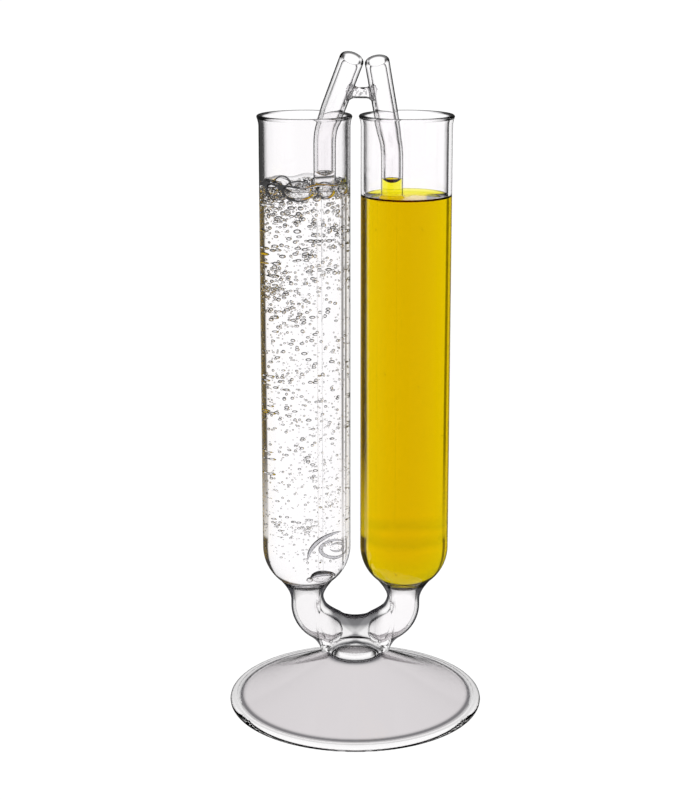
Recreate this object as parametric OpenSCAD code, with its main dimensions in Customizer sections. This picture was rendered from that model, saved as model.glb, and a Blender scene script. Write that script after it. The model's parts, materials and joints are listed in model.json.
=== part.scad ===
// Twin-tube cocktail glass: two round-bottomed glass tubes on bent hollow stems that meet on one domed
// foot, with a lift-out pair of bridged glass straws. Millimetres, +Z up. The origin is on the
// centre line of the foot, in the plane that it stands on. The front of the glass faces -Y.

/* [Tubes] */
// Outside diameter of each tube
tube_d = 32; // [28:0.5:40]
// Thickness of the tube walls
tube_wall = 1.3; // [1:0.1:2]
// Clear gap between the two tubes
tube_gap = 3.6; // [3.2:0.2:6]
// Height of the centres of the round bottoms
bowl_z = 60.2; // [58:0.2:66]
// Height of the top of the lips
rim_z = 217.6; // [195:0.2:240]
// Outside diameter of the lips
lip_d = 33.4; // [33:0.1:35]

/* [Stems] */
// Outside diameter of each stem
stem_d = 11.6; // [10.8:0.2:12.6]
// Thickness of the stem walls
stem_wall = 1.4; // [1:0.1:2]
// Radius of a stem's bend, on its centre line
stem_bend = 9; // [8:0.25:10]
// Radius of the flare where a neck meets its tube
flare_r = 6; // [4:0.5:7]

/* [Foot] */
// Outside diameter of the foot
foot_d = 93; // [84:1:110]
// Height of the dome under the collar
dome_z = 18.7; // [15:0.1:19]
// Thickness of the dome
dome_wall = 1.7; // [1.4:0.1:2.4]
// Thickness of the rolled edge
edge_t = 2.4; // [2:0.1:3]
// Diameter of the collar between the dome and the stems
collar_d = 20; // [19:0.5:22]
// Height of the collar
collar_h = 2.8; // [2:0.1:3]

/* [Straws] */
// Outside diameter of the straws' legs
leg_d = 7.8; // [7:0.1:8.2]
// Outside diameter of the mouthpieces
mouth_d = 8.4; // [8.2:0.1:8.8]
// Wall thickness of the straws
straw_wall = 1.3; // [1:0.1:1.5]
// Height of the lower ends of the legs
leg_end_z = 51.9; // [51.7:0.1:60]
// Radius of the bends, on the centre line
straw_bend = 14; // [12:1:20]

/* [Drinks] */
// Height of the sparkling water
clear_level = 191; // [120:1:200]
// Height of the yellow drink
yellow_level = 188.5; // [120:0.5:200]
// Height that the drink stands above its level inside a straw
straw_rise = 6.9; // [0:0.1:8]

/* [Hidden] */
$fn = 96;
inf = 400;

// tubes
tube_r = tube_d / 2;
bowl_r = tube_r - tube_wall;
tube_x = tube_r + tube_gap / 2;
lip_r = lip_d / 2;
lip_bead_r = 0.95;
lip_h = 4.1;

// stems: each drops from its tube, bends towards the middle and runs down into the collar
stem_r = stem_d / 2;
stem_bore_r = stem_r - stem_wall;
stem_turn = 60;
stem_run = 16;
stem_bend_z = 37.5;
nose_run = 5;
web_half = 3.8;

// neck: its flare is an arc that touches both the stem and the tube's round bottom
flare_x = stem_r + flare_r;
flare_z = bowl_z - sqrt(pow(tube_r + flare_r, 2) - flare_x * flare_x);
flare_top_r = flare_x * tube_r / (tube_r + flare_r);

// saddle: the solid web between the stems, with a round hollow on top
saddle_t = 8.6;
saddle_bend = 18;
saddle_low_z = 32.8;
saddle_lap = 0.4;
saddle_side_z = 30;
saddle_top_z = 37.4;

// foot
foot_r = foot_d / 2;
edge_r = edge_t / 2;
edge_w = 3.8;
collar_r = collar_d / 2;
collar_top = dome_z + collar_h;
dome_edge_r = foot_r - edge_w + 0.9;
dome_edge_z = edge_t - 0.2;
dome_top_r = collar_r - 0.8;
dome_steps = 16;
dome_power = 1.12;

// straws: [x of the leg, height where the two straight stretches would meet, sideways slope, forward
// slope, length of the slanting stretch]
left_straw = [-10.8, 211.8, 0.363, 0.618, 32.4];
right_straw = [12.75, 205.3, -0.177, 0.52, 36.6];
leg_r = leg_d / 2;
mouth_r = mouth_d / 2;
taper_len = 6;
bridge_z = 226;
bridge_r = 2.2;
bridge_end_r = 3.3;
bridge_len = 9;

// drinks: a thin clearance keeps each off the glass
wall_clear = 0.1;
leg_clear = 0.25;

function turn_of(straw) = atan(norm([straw[2], straw[3]]));
function heading_of(straw) = atan2(-straw[3], straw[2]);
function bend_start_of(straw) = straw[1] - straw_bend * tan(turn_of(straw) / 2);
function slant_of(straw) = straw[4] - straw_bend * tan(turn_of(straw) / 2);
function slant_point(straw, z) = [
    straw[0] + straw[2] * (z - straw[1]),
    -straw[3] * (z - straw[1]),
    z
];
function dome_height(r) =
    dome_edge_z + (dome_z - dome_edge_z) * pow(max(0, (dome_edge_r - r) / (dome_edge_r - dome_top_r)), dome_power);

module at_left() { translate([-tube_x, 0, 0]) children(); }
module at_right() { translate([tube_x, 0, 0]) children(); }

// ---- foot ----

module edge_section() {
    translate([foot_r - edge_r, edge_r]) circle(r = edge_r);
    translate([foot_r - edge_w + edge_r, edge_r]) circle(r = edge_r);
    translate([foot_r - edge_w + edge_r, 0]) square([edge_w - edge_t, edge_t]);
}

module foot_rim() {
    color("lightcyan") rotate_extrude() edge_section();
}

// The dome's section: its outside follows dome_height(), and its inside lies dome_wall lower.
module dome_section() {
    radii = [for (i = [0:dome_steps]) dome_top_r + (dome_edge_r - dome_top_r) * i / dome_steps];
    outside = [for (r = radii) [r, dome_height(r)]];
    inside = [for (i = [dome_steps:-1:0]) [radii[i], dome_height(radii[i]) - dome_wall]];
    difference() {
        polygon(concat([[0, dome_z]], outside, inside, [[0, dome_z - dome_wall]]));
        edge_section();
    }
}

module foot_dome() {
    color("lightcyan") rotate_extrude() dome_section();
}

module hub_collar() {
    color("paleturquoise") rotate_extrude() translate([0, dome_z]) {
        square([collar_r - collar_h / 2, collar_h]);
        intersection() {
            translate([collar_r - collar_h / 2, collar_h / 2]) circle(r = collar_h / 2);
            translate([collar_r - collar_h / 2, 0]) square([collar_h, collar_h]);
        }
    }
}

// ---- stems ----

// A bent tube that starts at the origin along +Z and turns towards +X.
module bend(r, bore, radius, turn) {
    translate([radius, 0, 0]) mirror([1, 0, 0]) rotate([90, 0, 0])
        rotate_extrude(angle = turn) translate([radius, 0]) difference() {
            circle(r = r);
            circle(r = bore);
        }
}

// Places its children where the left stem's bend ends, with +Z down along its run to the collar.
module stem_foot() {
    translate([stem_bend * (1 - cos(stem_turn)), 0, stem_bend_z - stem_bend * sin(stem_turn)])
        rotate([0, 180 - stem_turn, 0]) children();
}

// Keeps what lies left of the web's flat side.
module beside_web() {
    intersection() {
        children();
        translate([-inf / 2, -inf / 2, 0]) cube([inf / 2 - web_half, inf, inf]);
    }
}

module elbow() {
    at_left() translate([0, 0, stem_bend_z]) mirror([0, 0, 1])
        bend(stem_r, stem_bore_r, stem_bend, stem_turn);
}

module left_elbow() { color("lightcyan") elbow(); }
module right_elbow() { color("lightcyan") mirror([1, 0, 0]) elbow(); }

// The straight run down to the collar. Its bore ends in a round nose.
module stem() {
    difference() {
        beside_web() at_left() stem_foot() difference() {
            cylinder(r = stem_r, h = stem_run);
            translate([0, 0, -1]) cylinder(r = stem_bore_r, h = nose_run + 1);
            translate([0, 0, nose_run]) sphere(r = stem_bore_r);
        }
        cylinder(r = collar_r, h = collar_top);
    }
}

module left_stem() { color("lightblue") stem(); }
module right_stem() { color("lightblue") mirror([1, 0, 0]) stem(); }

// The room that the left stem's straight run takes beside the web.
module run_room() {
    beside_web() at_left() stem_foot() translate([0, 0, -stem_r]) cylinder(r = stem_r, h = stem_run + stem_r);
}

// The solid glass between the stems: its top is the round saddle, and its foot stands on the collar.
module saddle_web() {
    shoulder_x = tube_x - stem_bend * (1 - cos(stem_turn)) - stem_r * cos(stem_turn) - saddle_lap;
    foot_x = web_half + saddle_lap;
    color("paleturquoise") difference() {
        rotate([90, 0, 0]) linear_extrude(saddle_t, center = true) difference() {
            polygon([
                [-foot_x, collar_top], [foot_x, collar_top],
                [shoulder_x, saddle_side_z], [shoulder_x, saddle_top_z],
                [-shoulder_x, saddle_top_z], [-shoulder_x, saddle_side_z]
            ]);
            translate([0, saddle_low_z + saddle_bend]) circle(r = saddle_bend);
        }
        run_room();
        mirror([1, 0, 0]) run_room();
    }
}

// ---- tubes ----

// A short hollow neck that flares onto the tube's round bottom.
module neck() {
    rotate_extrude() difference() {
        translate([stem_bore_r, stem_bend_z])
            square([flare_top_r - stem_bore_r, bowl_z - tube_r / 2 - stem_bend_z]);
        translate([flare_x, flare_z]) circle(r = flare_r);
        translate([stem_r, 0]) square([flare_r, flare_z]);
        translate([0, bowl_z]) circle(r = tube_r);
    }
}

module left_neck() { color("paleturquoise") at_left() neck(); }
module right_neck() { color("paleturquoise") at_right() neck(); }

module tube() {
    difference() {
        union() {
            translate([0, 0, bowl_z]) cylinder(r = tube_r, h = rim_z - lip_h - bowl_z);
            translate([0, 0, bowl_z]) sphere(r = tube_r);
        }
        translate([0, 0, bowl_z]) cylinder(r = bowl_r, h = inf);
        translate([0, 0, bowl_z]) sphere(r = bowl_r);
    }
}

module left_tube() { color("lightcyan") at_left() tube(); }
module right_tube() { color("lightcyan") at_right() tube(); }

// The lip flares a little from the tube and ends in a fire-polished bead.
module lip() {
    base_z = rim_z - lip_h;
    bead = [lip_r - lip_bead_r, rim_z - lip_bead_r];
    rotate_extrude() {
        polygon([
            [bowl_r, base_z], [tube_r, base_z],
            [bead[0] + lip_bead_r, bead[1]], [bead[0] - lip_bead_r, bead[1]]
        ]);
        translate(bead) circle(r = lip_bead_r);
    }
}

module left_lip() { color("paleturquoise") at_left() lip(); }
module right_lip() { color("paleturquoise") at_right() lip(); }

// ---- straws ----

// Places its children where a straw's bend starts, turned so that the bend goes towards +X.
module at_bend(straw) {
    translate([straw[0], 0, bend_start_of(straw)]) rotate([0, 0, heading_of(straw)]) children();
}

// Places its children where the bend ends, with +Z along the slanting stretch.
module at_slant(straw) {
    turn = turn_of(straw);
    at_bend(straw) translate([straw_bend * (1 - cos(turn)), 0, straw_bend * sin(turn)])
        rotate([0, turn, 0]) children();
}

module leg(straw) {
    translate([straw[0], 0, leg_end_z]) difference() {
        cylinder(r = leg_r, h = bend_start_of(straw) - leg_end_z);
        translate([0, 0, -1]) cylinder(r = leg_r - straw_wall, h = inf);
    }
}

module left_leg() { color("lightblue") leg(left_straw); }
module right_leg() { color("lightblue") leg(right_straw); }

module straw_turn(straw) {
    at_bend(straw) bend(leg_r, leg_r - straw_wall, straw_bend, turn_of(straw));
}

module left_straw_bend() { color("powderblue") straw_turn(left_straw); }
module right_straw_bend() { color("powderblue") straw_turn(right_straw); }

// The mouthpiece widens over its first stretch and has a rounded end.
module mouthpiece(straw) {
    len = slant_of(straw);
    tip = straw_wall / 2;
    at_slant(straw) rotate_extrude() {
        polygon([
            [leg_r - straw_wall, 0], [leg_r, 0], [mouth_r, taper_len],
            [mouth_r, len - tip], [mouth_r - straw_wall, len - tip], [mouth_r - straw_wall, taper_len]
        ]);
        translate([mouth_r - tip, len - tip]) circle(r = tip);
    }
}

module left_mouthpiece() { color("lightskyblue") mouthpiece(left_straw); }
module right_mouthpiece() { color("lightskyblue") mouthpiece(right_straw); }

// The bridge is a waisted rod between the two mouthpieces.
module straw_bridge() {
    from = slant_point(left_straw, bridge_z);
    to = slant_point(right_straw, bridge_z);
    span = to - from;
    waist = (pow(bridge_len / 2, 2) + pow(bridge_end_r - bridge_r, 2)) / (2 * (bridge_end_r - bridge_r));
    color("paleturquoise") difference() {
        translate((from + to) / 2) rotate([0, 0, atan2(span[1], span[0])]) rotate([0, 90, 0])
            rotate_extrude() difference() {
                translate([0, -bridge_len / 2]) square([bridge_end_r, bridge_len]);
                translate([bridge_r + waist, 0]) circle(r = waist);
            }
        at_slant(left_straw) cylinder(r = mouth_r, h = slant_of(left_straw));
        at_slant(right_straw) cylinder(r = mouth_r, h = slant_of(right_straw));
    }
}

// ---- drinks ----

// A drink fills its tube to level, with a slot for the straw's leg and a column inside the leg.
module drink(straw, level, side) {
    slot_z = leg_end_z - leg_clear;
    r = bowl_r - wall_clear;
    difference() {
        translate([side * tube_x, 0, bowl_z]) {
            cylinder(r = r, h = level - bowl_z);
            sphere(r = r);
        }
        translate([straw[0], 0, slot_z]) cylinder(r = leg_r + leg_clear, h = inf);
    }
    translate([straw[0], 0, slot_z])
        cylinder(r = leg_r - straw_wall - leg_clear, h = level + straw_rise - slot_z);
}

module clear_drink() { color("aliceblue") drink(left_straw, clear_level, -1); }
module yellow_drink() { color("gold") drink(right_straw, yellow_level, 1); }

foot_rim();
foot_dome();
hub_collar();
saddle_web();
left_stem();
right_stem();
left_elbow();
right_elbow();
left_neck();
right_neck();
left_tube();
right_tube();
left_lip();
right_lip();
clear_drink();
yellow_drink();
left_leg();
right_leg();
left_straw_bend();
right_straw_bend();
left_mouthpiece();
right_mouthpiece();
straw_bridge();
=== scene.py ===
"""Twin-tube cocktail glass: lampworked borosilicate with a sparkling drink, a yellow drink and a
bridged pair of glass straws. Shapes are worked out in millimetres and written in metres."""

import json
import math
import random

import bmesh
import bpy
import numpy as np
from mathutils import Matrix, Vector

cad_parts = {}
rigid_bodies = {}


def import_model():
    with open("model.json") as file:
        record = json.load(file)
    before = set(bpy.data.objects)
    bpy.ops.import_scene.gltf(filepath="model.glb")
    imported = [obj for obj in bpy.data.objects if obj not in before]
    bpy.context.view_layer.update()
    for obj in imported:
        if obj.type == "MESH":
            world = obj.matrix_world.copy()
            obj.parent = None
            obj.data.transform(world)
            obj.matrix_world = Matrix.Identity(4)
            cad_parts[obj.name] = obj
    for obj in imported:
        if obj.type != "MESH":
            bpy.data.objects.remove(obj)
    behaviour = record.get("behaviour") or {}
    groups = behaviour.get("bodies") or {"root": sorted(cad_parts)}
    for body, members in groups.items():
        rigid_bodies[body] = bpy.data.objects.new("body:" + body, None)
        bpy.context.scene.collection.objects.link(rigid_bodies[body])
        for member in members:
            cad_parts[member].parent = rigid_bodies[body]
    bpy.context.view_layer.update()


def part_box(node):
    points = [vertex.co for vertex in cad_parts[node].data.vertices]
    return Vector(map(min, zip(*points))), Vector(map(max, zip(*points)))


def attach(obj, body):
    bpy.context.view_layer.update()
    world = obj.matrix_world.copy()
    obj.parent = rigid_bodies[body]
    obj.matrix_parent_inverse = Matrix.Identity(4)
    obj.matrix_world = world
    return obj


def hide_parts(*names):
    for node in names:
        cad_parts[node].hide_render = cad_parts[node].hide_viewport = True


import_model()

MM = 0.001
SIDE = {"left": -1, "right": 1}


# ---------------- sizes from the frame


def box_mm(node):
    low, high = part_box(node)
    return np.array(low) / MM, np.array(high) / MM


TUBE_LOW, TUBE_HIGH = box_mm("left_tube")
LIP_LOW, LIP_HIGH = box_mm("left_lip")
RIM_LOW, RIM_HIGH = box_mm("foot_rim")
COLLAR_LOW, COLLAR_HIGH = box_mm("hub_collar")

TUBE_R = (TUBE_HIGH[0] - TUBE_LOW[0]) / 2
TUBE_X = -(TUBE_HIGH[0] + TUBE_LOW[0]) / 2
BOWL_Z = TUBE_LOW[2] + TUBE_R
RIM_Z = LIP_HIGH[2]
LIP_R = (LIP_HIGH[0] - LIP_LOW[0]) / 2
LIP_H = LIP_HIGH[2] - LIP_LOW[2]
FOOT_R = (RIM_HIGH[0] - RIM_LOW[0]) / 2
EDGE_R = RIM_HIGH[2] / 2
DOME_Z = box_mm("foot_dome")[1][2]
COLLAR_R = (COLLAR_HIGH[0] - COLLAR_LOW[0]) / 2
COLLAR_TOP = COLLAR_HIGH[2]
LEG_END_Z = box_mm("left_leg")[0][2]
STRAW_RISE = 6.9  # how far the drink stands above its level in a straw
LEVEL = {
    "left": box_mm("clear_drink")[1][2] - STRAW_RISE,
    "right": box_mm("yellow_drink")[1][2] - STRAW_RISE,
}

# ---------------- shape of the glass

WALL, BEAD_R = 1.3, 0.72
BORE_R = TUBE_R - WALL
TUBE_SEGMENTS, ROUND_STEPS, LIP_STEPS, POLE = 160, 48, 20, 0.03
FLARE = (0.25, 0.5, 0.7, 0.85)

LEG_R, MOUTH_R, STRAW_WALL, STRAW_BEND, TAPER = 3.9, 4.2, 1.3, 14.0, 6.0
STRAW_SEGMENTS, TIP_STEPS = 96, 10
# leg x, height where the straight stretches would meet, sideways and forward slope, slant length
STRAWS = {
    "left": (-10.8, 211.8, 0.363, 0.618, 32.4),
    "right": (12.75, 205.3, -0.177, 0.52, 36.6),
}
BRIDGE_Z, BRIDGE_R, BRIDGE_FILLET, BRIDGE_FLARE, BRIDGE_SINK = 226.0, 1.9, 1.8, 1.6, 0.25
BRIDGE_STEP, BRIDGE_MARGIN, BRIDGE_BUBBLES = 0.22, 5.5, 16

STEM_R, STEM_WALL, STEM_BEND, STEM_BEND_Z = 5.8, 1.4, 9.0, 37.5
STEM_TURN = math.radians(60)
STEM_RUN, BORE_RUN = 16.0, 5.0  # how far a stem and its bore run on below the bend
NECK_FILLET, NECK_SINK, NECK_REACH, STEMS_FILLET = 6.0, 0.25, 10.4, 2.0
FAR = 9.0  # a distance that means outside
SADDLE_R, SADDLE_Z = 18.0, 32.8
WEB_HALF, WEB_BULGE, WEB_EDGE_R, WEB_REACH, WEB_FILLET = 3.6, 0.012, 3.2, 12.4, 3.5
FORK_SINK, FORK_FILLET = 1.2, 1.2
EDGE_WIDTH, DOME_TUCK, DOME_START, DOME_SHOULDER = 3.8, 0.9, 2.2, 0.8
DOME_WALL, DOME_POWER, DOME_SLANT = 1.7, 1.12, 0.88
LENS_Z, LENS_HALF, LENS_CURVE, LENS_EDGE_R = 19.9, 2.5, 0.012, 1.1
RIM_FILLET, LENS_FILLET = 0.7, 0.6
STAND_STEP = 0.5

# rounds of smoothing of a field's mesh, steps back to the surface in each, and how gentle a slope
# may be taken to be
SMOOTHINGS, SETTLINGS, LEAST_SLOPE, NUDGE = 4, 3, 0.2, 0.02

# ---------------- shape of the drinks

SEAT = 0.08  # how far a drink's mesh runs into the glass that holds it
MENISCUS, MENISCUS_WIDTH, STRAW_MENISCUS = 1.3, 1.0, 0.8
FILM = 0.16  # the drink's skin over a big bubble of foam
COLUMN_DIP, COLUMN_POWER, COLUMN_SEGMENTS, COLUMN_RINGS = 1.5, 2.4, 64, 12
DRINK_SEGMENTS, STREAK_STEPS, STREAK_SEGMENTS = 192, 56, 20
FOAM_HIGH, FOAM_WIDE, FOAM_DEEP, FOAM_EDGE = 2.5, 6.5, 1.5, 0.5
FOAM_TRIES = 1600
BUBBLES = 4200
CLUSTERS, BUBBLES_FROM, BUBBLES_BELOW = 70, 2.5, 6
SPECKS, SPECKS_FROM, SPECKS_SPAN, SPECKS_IN = 9, 8, 90, 0.5
# the foam's biggest bubbles: degrees round the tube from the front, half width, radius, and
# height over the level
FOAM = [
    (-10, 5.4, 3.5, 1.2), (37, 3.4, 3.0, 1.3), (-57, 2.4, 2.4, 1.4), (74, 2.3, 2.3, 1.3),
    (-97, 2.5, 2.5, 1.0), (112, 2.7, 2.7, 1.0), (-134, 3.0, 3.0, 1.1), (152, 3.3, 3.0, 1.1),
]
# bubbles under the left straw's end: place from the middle of the bowl, and radii
BIG_BUBBLES = [(4.6, -4.0, -8.6, (3.6, 2.0, 2.2)), (1.0, -6.2, -9.2, (1.0, 0.9, 1.0))]
# bent bubbles there: place from the middle of the bowl, half width, half height, degrees at which
# it starts and ends, half thickness
STREAKS = [
    (12.3, -5.0, -3.2, 11.8, 10.6, 178, 96, 0.8), (9.3, -6.6, 1.4, 4.9, 3.3, 30, 372, 0.6),
    (9.6, -5.0, 1.5, 2.6, 1.5, 200, 520, 0.5), (5.2, -4.5, -9.6, 4.2, 2.2, 170, 15, 0.9),
]

# ---------------- looks

# Indices of refraction. Some glass is given less than its own, which is GLASS_IOR, because the
# light that the real index traps in it shows as black smudges in this few samples.
GLASS_IOR, DRINK_IOR, HARDLY_IOR = 1.47, 1.333, 1.0005
TUBE_IOR, LIP_IOR, STEM_IOR, FOOT_IOR, MOUTH_IOR = 1.3, 1.3, 1.18, 1.22, 1.1
# under the drink, for each straw: its index, and how bright its edges are
WET_STRAWS = {"left": (1.06, (0.8, 0.8, 0.8)), "right": (1.01, (1.0, 1.0, 1.0))}

JUICE_COLOUR, JUICE_DENSITY = (0.984, 0.9645, 0.0, 1), 800.0
# how strong the greener layers are at heights from the bowl's bottom to LAYERS_TOP over its middle
LAYERS = [
    (0.1, 0.1), (0.25, 0.8), (0.34, 0.9), (0.42, 0.15), (0.68, 0.0), (0.76, 1.0), (0.82, 0.8),
    (0.9, 0.0),
]
LAYERS_TOP, LAYERS_WAVE, LAYER_TINT = 14.0, 5.0, (0.78, 0.84, 0.7)

# the third colour is the dark that the stand's painted shade goes to
STEM_BODY, FOOT_BODY, PAINTED_SHADE = (0.97, 0.96, 0.965), (0.68, 0.65, 0.665), (0.03, 0.03, 0.035)
STAND_EDGE = (0.004, 0.004, 0.005)
# where on Layer Weight's facing scale the stand starts to darken and where it is darkest: on the
# stems, on the web, in the bores, on the dome, and how much later on the rolled edge
EDGE_STARTS = (0.34, 0.18, 0.55, 0.93, 0.14)
EDGE_ENDS = (0.6, 0.58, 0.85, 1.0, 0.18)
# the stand's painted shade: strengths, and the shapes of the web's two wedges and of the collar's
# arch
SADDLE_SHADE, SADDLE_DEPTH, WEB_SHADE, WEDGE_SHADE = 0.95, 3.0, 0.12, 0.34
CREASE_SHADE, SKIRT_SHADE, ARCH_SHADE, LEFT_SHADE, DARKEST = 1.3, 1.7, 1.2, 0.05, 0.95
WEDGE_Z, WEDGE_SLOPE, WEDGE_WAIST, WEDGE_BLUR = 26.0, 1.1, 0.4, 1.2
ARCH_RISE, ARCH_SLOPE, ARCH_WIDTH, ARCH_ENDS = 2.3, 0.3, 0.7, (8.6, 9.8)
WEB_FADES, LEFT_FADES, FOOT_IOR_FROM = (6.5, 11.0), (3.0, 14.0), (8.0, 11.0)
MOUTH_SHADE, MOUTH_DARK, MOUTH_FAR = 0.97, (0.6, 0.3), (-0.3, 0.2)

WHITE, SCREENS, MIRRORED = 1.12, 1.05, 0.06
# how bright the surroundings are that show through the glass: degrees from +Y towards +X
SURROUND = [
    (-180, 0.30), (-139, 0.30), (-136, 0.03), (-129, 0.03), (-126, 1.0), (-49, 1.0), (-47, 0.3),
    (-40, 0.3), (-38, 1.0), (38, 1.0), (42, 0.05), (60, 0.05), (64, 0.6), (86, 0.6), (89, 0.03),
    (95, 0.03), (98, 1.0), (170, 1.0), (173, 0.03), (179.9, 0.03),
]
# the heights, from -1 straight down to 1 straight up, at which those surroundings stand, and how
# bright it is beyond them
BAND = [(-0.34, 0.0), (-0.28, 1.0), (0.36, 1.0), (0.44, 0.0)]
ABOVE_AND_BELOW = [(-0.2, 1.0), (0.3, 0.06), (0.82, 0.06), (0.88, 0.8)]

FLOOR_R, FLOOR_Z = 14, -0.00002
CAMERA_AT, CAMERA_DOWN, LENS, SENSOR, SHIFT = (-0.00195, -0.6343, 0.2830), 12.94, 82.05, 36, -0.075


# ---------------- mesh helpers


def add_mesh(name, verts, faces, materials, body, nodes=(), normals=None):
    """A smooth-shaded piece from vertices in millimetres. It rides on body and stands for nodes."""
    mesh = bpy.data.meshes.new(name)
    mesh.from_pydata((np.asarray(verts, float) * MM).tolist(), [], [list(f) for f in faces])
    mesh.validate()
    for material in materials:
        mesh.materials.append(material)
    mesh.polygons.foreach_set("use_smooth", [True] * len(mesh.polygons))
    mesh.update()
    if normals is not None:
        mesh.normals_split_custom_set_from_vertices(normals.tolist())
    piece = bpy.data.objects.new(name, mesh)
    bpy.context.scene.collection.objects.link(piece)
    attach(piece, body)
    if nodes:
        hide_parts(*nodes)
    return piece


def add_values(piece, name, values):
    """Gives each vertex of piece a number."""
    piece.data.attributes.new(name, "FLOAT", "POINT").data.foreach_set("value", values)


def paint(piece, choose):
    """Gives each face of piece the material number that choose(index, centre in mm) says."""
    for polygon in piece.data.polygons:
        polygon.material_index = choose(polygon.index, polygon.center / MM)


def upright(x):
    """A path for sweep(): straight up at that x."""
    return lambda s: (np.array([x, 0, s]), np.array([1.0, 0, 0]), np.array([0, 1.0, 0]))


def sweep(profile, path, segments, closed):
    """Turns a profile of (distance along the path, radius) points round the path. An open profile
    starts and ends on the path. The profile's left side, seen along it, is inside the glass."""
    turn = np.linspace(0, 2 * math.pi, segments, endpoint=False)
    verts, rings, faces = [], [], []
    for s, r in profile:
        centre, across, sideways = path(s)
        if r < 1e-6:
            rings.append([len(verts)])
            verts.append(centre)
        else:
            ring = np.outer(np.cos(turn), across) + np.outer(np.sin(turn), sideways)
            rings.append(list(range(len(verts), len(verts) + segments)))
            verts.extend(centre + r * ring)
    pairs = list(zip(rings, rings[1:])) + ([(rings[-1], rings[0])] if closed else [])
    for low, high in pairs:
        for i in range(segments):
            j = (i + 1) % segments
            if len(low) == 1:
                faces.append((low[0], high[j], high[i]))
            elif len(high) == 1:
                faces.append((low[i], low[j], high[0]))
            else:
                faces.append((low[i], low[j], high[j], high[i]))
    return np.array(verts), faces


def arc(centre_s, centre_r, radius, start, end, steps):
    """Profile points on an arc, from start to end in degrees from the way the radius grows."""
    turns = [math.radians(start + (end - start) * i / steps) for i in range(steps + 1)]
    return [(centre_s + radius * math.sin(t), centre_r + radius * math.cos(t)) for t in turns]


def line(start, end, steps):
    """The profile points between start and end."""
    return [
        (start[0] + (end[0] - start[0]) * i / steps, start[1] + (end[1] - start[1]) * i / steps)
        for i in range(1, steps)
    ]


def round_bottom(r, steps):
    """Profile points from the lowest point of a bowl of radius r to where it is widest."""
    turns = np.linspace(POLE, math.pi / 2, steps)
    points = [(BOWL_Z - r * math.cos(turn), r * math.sin(turn)) for turn in turns]
    return [(BOWL_Z - r, 0.0)] + points


BALLS = {}


def ball(detail):
    """The vertices and faces of a unit ball whose faces look inwards."""
    if detail not in BALLS:
        bm = bmesh.new()
        bmesh.ops.create_icosphere(bm, subdivisions=detail, radius=1)
        verts = np.array([v.co for v in bm.verts])
        faces = np.array([[v.index for v in reversed(f.verts)] for f in bm.faces])
        bm.free()
        BALLS[detail] = verts, faces
    return BALLS[detail]


def add_hollows(verts, faces, hollows):
    """Adds round hollows, each (centre, radii, detail), to a solid's vertices and faces."""
    verts, faces, count = [verts], list(faces), len(verts)
    for centre, radii, detail in hollows:
        unit, tris = ball(detail)
        verts.append(unit * np.asarray(radii) + np.asarray(centre))
        faces.extend((tris + count).tolist())
        count += len(unit)
    return np.vstack(verts), faces


# ---------------- blended solids


def round_union(a, b, r):
    """The union of two distance fields, with a fillet of radius r between them."""
    blend = np.hypot(np.maximum(r - a, 0), np.maximum(r - b, 0))
    return np.maximum(r, np.minimum(a, b)) - blend


def round_meet(a, b, r):
    """The part common to two distance fields, with its edges rounded to radius r."""
    blend = np.hypot(np.maximum(r + a, 0), np.maximum(r + b, 0))
    return np.minimum(-r, np.maximum(a, b)) + blend


def slope_of(field, points):
    steps = np.eye(3) * NUDGE
    return np.stack([(field(points + d) - field(points - d)) / (2 * NUDGE) for d in steps], -1)


def slices(axis):
    """Along axis, all but the last and all but the first of a grid's points."""
    first, second = [slice(None)] * 3, [slice(None)] * 3
    first[axis], second[axis] = slice(0, -1), slice(1, None)
    return first, second


def crossings(grid, value, step):
    """For each cell of the grid, the middle of the points where its edges cross the surface, and
    whether there are any."""
    shape = tuple(n - 1 for n in value.shape)
    total, count = np.zeros(shape + (3,)), np.zeros(shape)
    for axis in range(3):
        first, second = slices(axis)
        a, b = value[tuple(first)], value[tuple(second)]
        crosses = (a < 0) != (b < 0)
        share = np.where(crosses, a / np.where(crosses, a - b, 1), 0)
        point = grid[tuple(first)].copy()
        point[..., axis] += share * step
        others = [other for other in range(3) if other != axis]
        for u in (0, 1):
            for v in (0, 1):
                part = [slice(None)] * 3
                for other, offset in zip(others, (u, v)):
                    part[other] = slice(offset, value.shape[other] - 1 + offset)
                mask = crosses[tuple(part)]
                total += np.where(mask[..., None], point[tuple(part)], 0)
                count += mask
    active = count > 0
    return total[active] / count[active][:, None], active


def cell_quads(inside, active):
    """A quad for each edge of the grid that crosses the surface, joining the cells round it."""
    index = np.full(active.shape, -1)
    index[active] = np.arange(active.sum())
    quads = []
    for axis in range(3):
        u, v = [(1, 2), (2, 0), (0, 1)][axis]
        first, second = [slice(1, -1)] * 3, [slice(1, -1)] * 3
        first[axis], second[axis] = slice(0, -1), slice(1, None)
        a, b = inside[tuple(first)], inside[tuple(second)]
        for sign in (True, False):
            where = np.argwhere((a != b) & (a == sign))
            where[:, [u, v]] += 1
            corners = []
            for du, dv in ((-1, -1), (0, -1), (0, 0), (-1, 0)):
                cell = where.copy()
                cell[:, u] += du
                cell[:, v] += dv
                corners.append(index[tuple(cell.T)])
            quad = np.stack(corners, 1)
            quads.append(quad if sign else quad[:, ::-1])
    return np.vstack(quads)


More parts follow.
